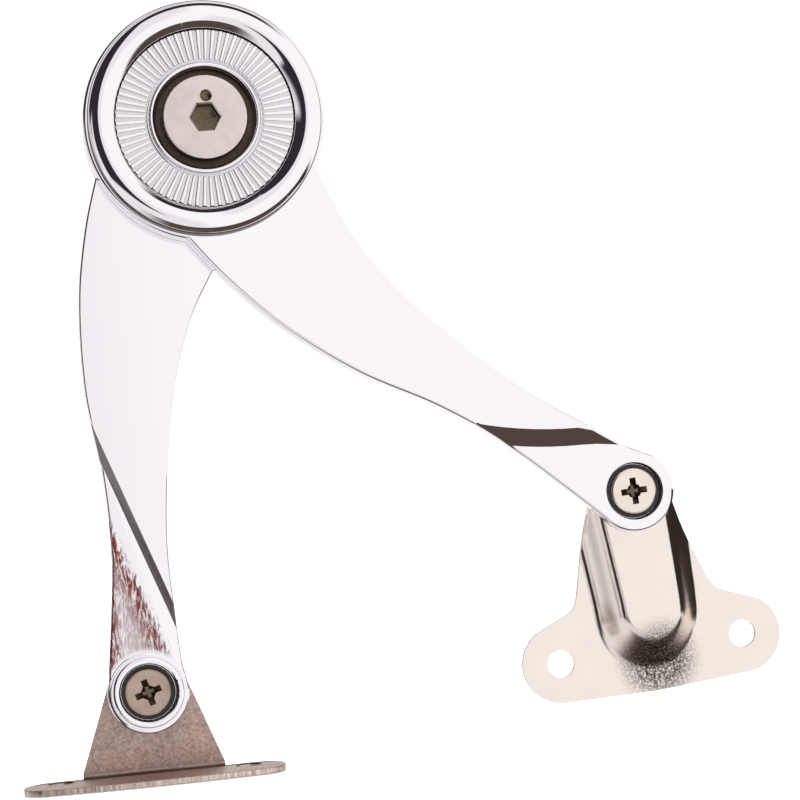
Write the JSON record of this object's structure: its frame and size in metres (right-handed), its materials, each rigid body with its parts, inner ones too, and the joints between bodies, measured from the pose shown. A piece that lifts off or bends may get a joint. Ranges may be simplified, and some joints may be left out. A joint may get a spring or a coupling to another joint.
{
  "type": "friction stay hinge",
  "caption": "Lid stay: bowed arms folding on a round friction hub with a ribbed dial and a hex-socket tension screw, and a pivoting screw-on bracket at each free end.",
  "frame": {"origin": "centre of the flap bracket's foot, on its screw face", "axes": "+Z from the foot up towards the hub, +X from the flap bracket towards the cabinet bracket, -Y out of the dial; +Y is the cabinet bracket's screw face"},
  "size_m": [0.1349, 0.0162, 0.1321],
  "materials": {
    "bright_chrome": "bright chrome plate on a polished zinc casting",
    "bright_nickel": "bright nickel plate on pressed steel",
    "satin_nickel": "satin nickel plate on pressed steel",
    "dull_nickel": "faced steel with dull nickel plate",
    "screw_nickel": "nickel-plated steel screw",
    "spring_steel": "oiled spring steel",
    "plate_steel": "blanked steel plate",
    "friction_lining": "resin-bonded friction lining",
    "acetal": "moulded acetal"
  },
  "bodies": {
    "flap_bracket": {"flap_bracket": "satin_nickel", "flap_pivot_screw": "screw_nickel", "flap_pivot_washer": "spring_steel"},
    "lower_arm": {"lower_arm": "bright_chrome", "flap_pivot_bush": "acetal", "clamp_nut": "plate_steel", "rear_cover": "dull_nickel", "friction_disc_rear": "friction_lining", "friction_disc_middle": "friction_lining", "inner_plate": "plate_steel", "friction_disc_front": "friction_lining", "stop_pin": "plate_steel"},
    "upper_arm": {"upper_arm": "bright_chrome", "outer_plate_rear": "plate_steel", "outer_plate_front": "plate_steel", "dial_ring": "bright_chrome", "dial_collar": "bright_chrome", "disc_spring_rear": "spring_steel", "disc_spring_front": "spring_steel", "thrust_washer": "plate_steel", "cabinet_pivot_bush": "acetal"},
    "tension_screw": {"tension_screw": "dull_nickel"},
    "cabinet_bracket": {"cabinet_bracket": "bright_nickel", "cabinet_pivot_screw": "screw_nickel", "cabinet_pivot_washer": "spring_steel"}
  },
  "joints": [
    {"name": "flap_pivot", "type": "hinge", "parent": "flap_bracket", "child": "lower_arm", "pos_m": [0, 0, 0.015], "axis": [0, 1, 0], "range_deg": [-85, 65]},
    {"name": "hub", "type": "hinge", "parent": "lower_arm", "child": "upper_arm", "pos_m": [0.01735, 0, 0.11145], "axis": [0, -1, 0], "range_deg": [-20, 110]},
    {"name": "cabinet_pivot", "type": "hinge", "parent": "upper_arm", "child": "cabinet_bracket", "pos_m": [0.08653, 0, 0.04203], "axis": [0, 1, 0], "range_deg": [-100, 60]},
    {"name": "tension_adjuster", "type": "hinge", "parent": "lower_arm", "child": "tension_screw", "pos_m": [0.01735, 0, 0.11145], "axis": [0, -1, 0], "range_deg": [-180, 180]}
  ]
}
